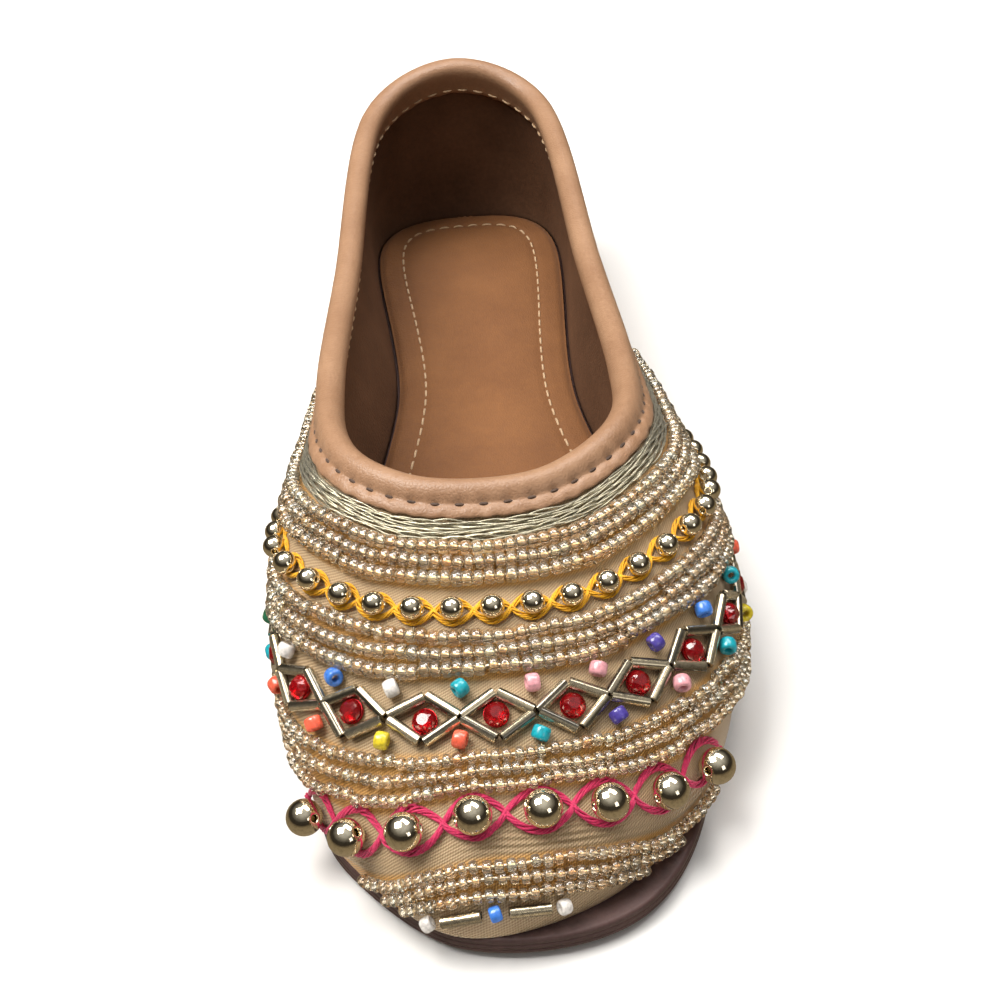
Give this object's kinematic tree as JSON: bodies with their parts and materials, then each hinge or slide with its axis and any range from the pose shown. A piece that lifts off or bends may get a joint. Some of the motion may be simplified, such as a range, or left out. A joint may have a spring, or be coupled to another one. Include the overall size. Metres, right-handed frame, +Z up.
{
  "type": "mojari shoe",
  "caption": "Slip-on mojari with a round toe, flat leather sole, bound topline and a vamp covered in rows of seed beads, silver beads, glass tubes and red stones",
  "frame": {"origin": "on the floor under the middle of the shoe", "axes": "+Z up, toe towards -Y, heel towards +Y, medial side towards -X"},
  "size_m": [0.0918, 0.2514, 0.0564],
  "materials": {
    "sole_leather": "dark brown sole leather, dyed edge",
    "insole_leather": "tan suede sock with a line of cream stitches",
    "binding_leather": "tan leather strip, folded and stitched with dark thread",
    "lining_leather": "dark brown lining",
    "vamp_cloth": "cream gold twill",
    "zari_thread": "pale gold metal thread in close strands",
    "seed_glass": "champagne seed beads, silver lined",
    "silvered_bead": "mirror silver round beads",
    "bugle_glass": "clear glass tubes, silver lined",
    "red_glass": "red faceted stones",
    "yellow_thread": "yellow embroidery thread",
    "pink_thread": "pink embroidery thread",
    "turquoise_glass": "opaque turquoise beads",
    "blue_glass": "opaque blue beads",
    "white_glass": "opaque white beads",
    "yellow_glass": "opaque yellow beads",
    "coral_glass": "opaque coral beads",
    "pink_glass": "opaque pink beads",
    "violet_glass": "opaque dark violet beads",
    "green_glass": "opaque green beads",
    "dark_stitch": "dark brown sewing thread",
    "cream_stitch": "cream sewing thread"
  },
  "bodies": {
    "root": {"accent_above_1": "yellow_glass", "accent_above_10": "pink_glass", "accent_above_11": "violet_glass", "accent_above_12": "blue_glass", "accent_above_13": "turquoise_glass", "accent_above_14": "coral_glass", "accent_above_15": "white_glass", "accent_above_2": "coral_glass", "accent_above_3": "turquoise_glass", "accent_above_4": "green_glass", "accent_above_5": "white_glass", "accent_above_6": "blue_glass", "accent_above_7": "white_glass", "accent_above_8": "turquoise_glass", "accent_above_9": "pink_glass", "accent_below_1": "white_glass", "accent_below_10": "violet_glass", "accent_below_11": "pink_glass", "accent_below_12": "turquoise_glass", "accent_below_13": "yellow_glass", "accent_below_14": "white_glass", "accent_below_15": "blue_glass", "accent_below_2": "blue_glass", "accent_below_3": "pink_glass", "accent_below_4": "turquoise_glass", "accent_below_5": "coral_glass", "accent_below_6": "coral_glass", "accent_below_7": "yellow_glass", "accent_below_8": "coral_glass", "accent_below_9": "turquoise_glass", "bugle_lattice": "bugle_glass", "insole": "insole_leather", "large_bead_row": "silvered_bead", "outsole": "sole_leather", "red_stone_1": "red_glass", "red_stone_10": "red_glass", "red_stone_11": "red_glass", "red_stone_12": "red_glass", "red_stone_13": "red_glass", "red_stone_14": "red_glass", "red_stone_2": "red_glass", "red_stone_3": "red_glass", "red_stone_4": "red_glass", "red_stone_5": "red_glass", "red_stone_6": "red_glass", "red_stone_7": "red_glass", "red_stone_8": "red_glass", "red_stone_9": "red_glass", "seed_band_1": "seed_glass", "seed_band_2": "seed_glass", "seed_band_3": "seed_glass", "seed_band_4": "seed_glass", "small_bead_row": "silvered_bead", "toe_bugle_row": "bugle_glass", "topline_binding": "binding_leather", "upper": "vamp_cloth", "zari_band": "zari_thread"}
  },
  "joints": []
}
